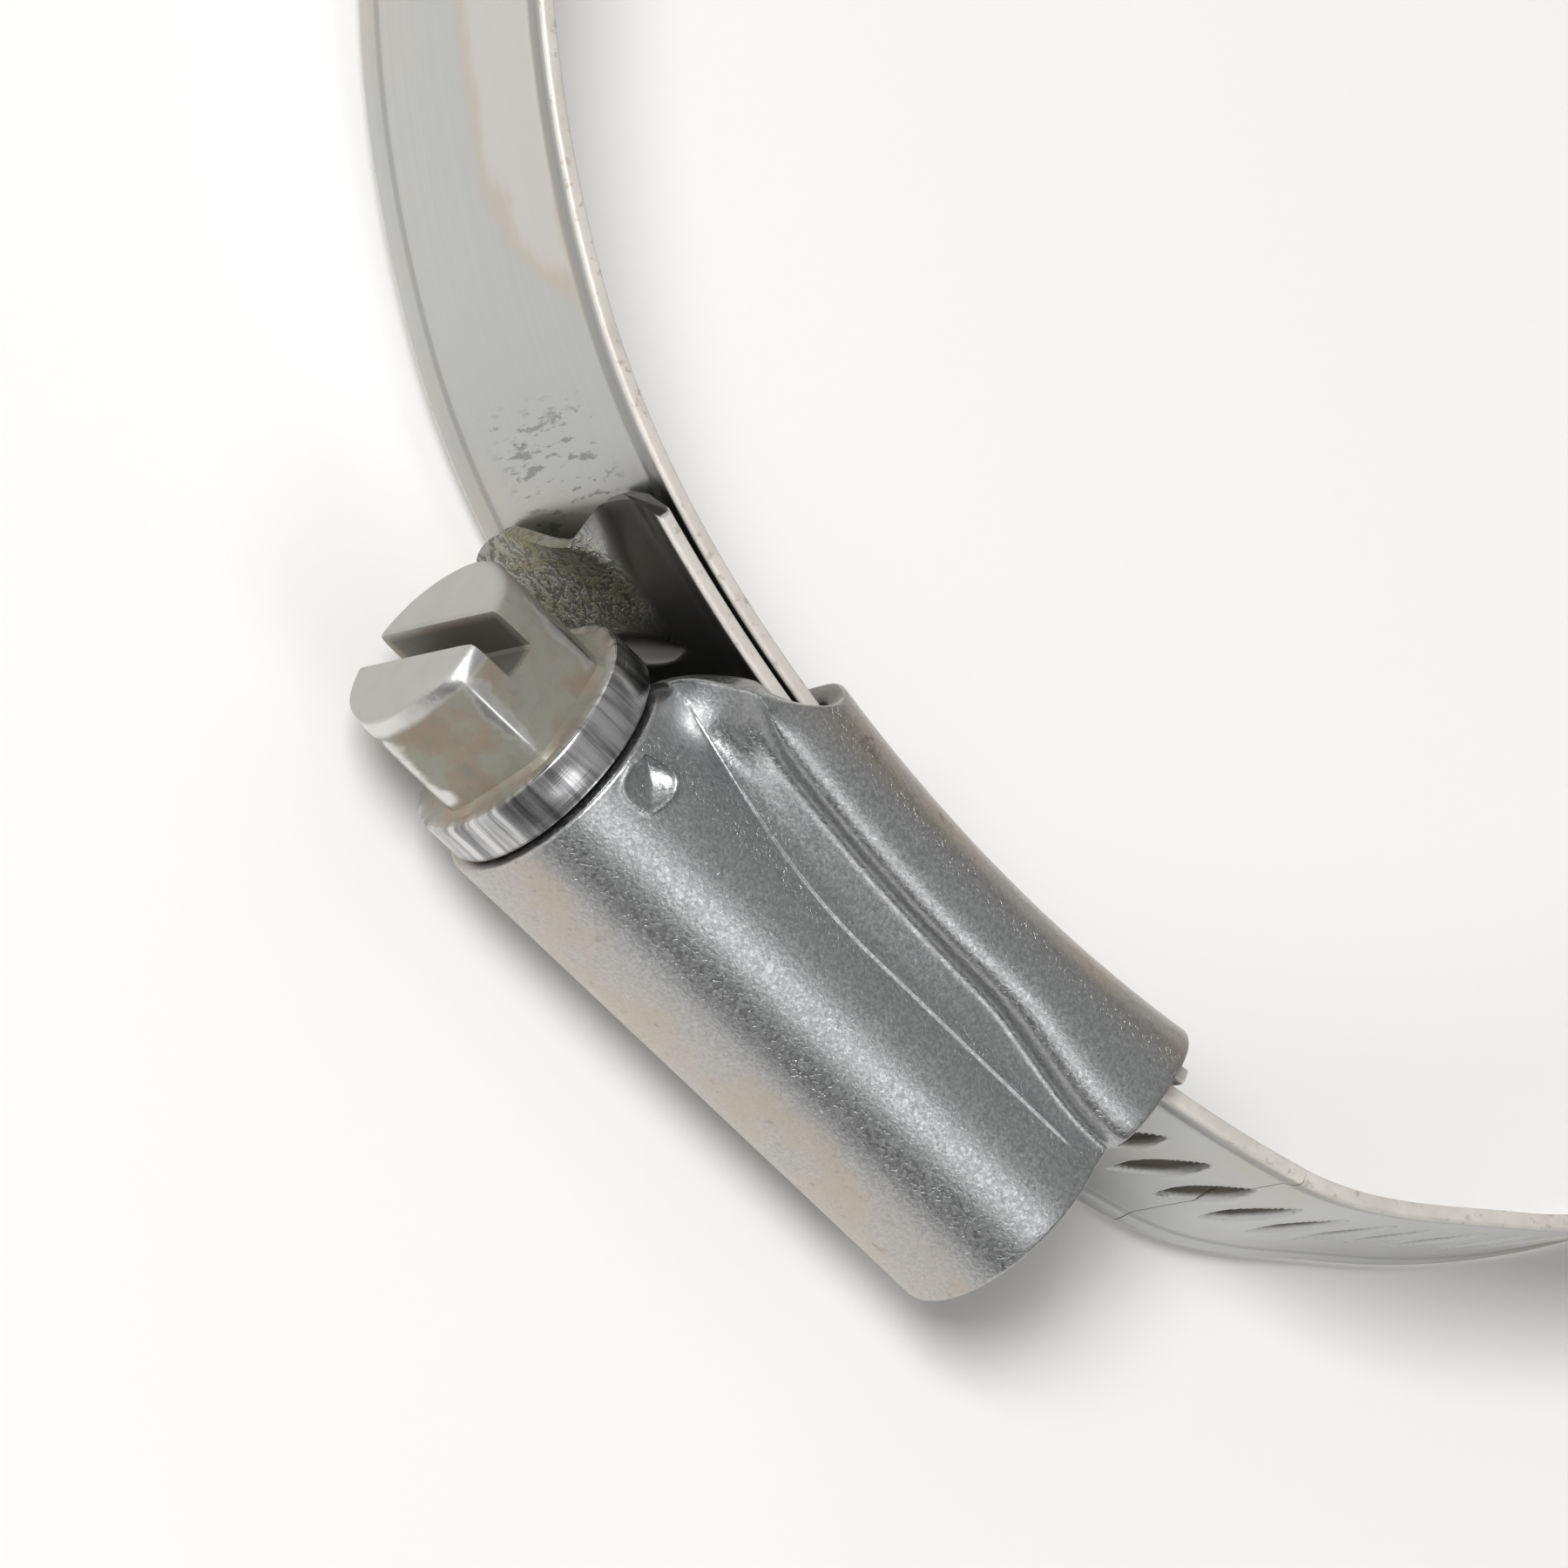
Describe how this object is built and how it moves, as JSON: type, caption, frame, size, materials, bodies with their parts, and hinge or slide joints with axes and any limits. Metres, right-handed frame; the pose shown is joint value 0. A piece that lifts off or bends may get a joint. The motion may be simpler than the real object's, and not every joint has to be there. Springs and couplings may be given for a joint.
{
  "type": "hose clamp",
  "caption": "Worm-drive hose clamp: a steel band round a hose, drawn tight by a slotted hexagon screw in a pressed housing.",
  "frame": {"origin": "centre of the ring that the hose passes through, at the middle of the band's width", "axes": "+Z along the hose; -Y from the ring's centre to the housing; the screw lies along X with its head at -X"},
  "size_m": [0.0712, 0.0777, 0.011],
  "materials": {
    "housing_steel": "satin pressed steel",
    "screw_steel": "plated steel, stained and worn bright at the corners",
    "band_steel": "rolled stainless strip with fine long scratches"
  },
  "bodies": {
    "housing_and_band": {"housing": "housing_steel", "band_plain_end": "band_steel", "band_loop": "band_steel"},
    "screw": {"screw": "screw_steel"},
    "threaded_end": {"band_threaded_end": "band_steel"}
  },
  "joints": [
    {"name": "screw_turn", "type": "hinge", "parent": "housing_and_band", "child": "screw", "pos_m": [0, -0.03804, 0], "axis": [1, 0, 0], "range_deg": [-360, 1080]},
    {"name": "band_feed", "type": "hinge", "parent": "housing_and_band", "child": "threaded_end", "pos_m": [0.0002, 0.0135, 0], "axis": [0, 0, -1], "range_deg": [-2.2, 6.45], "deforming": ["band_loop"]}
  ],
  "couplings": [
    {"joint": "band_feed", "follows": "screw_turn", "ratio": 0.0059165}
  ]
}
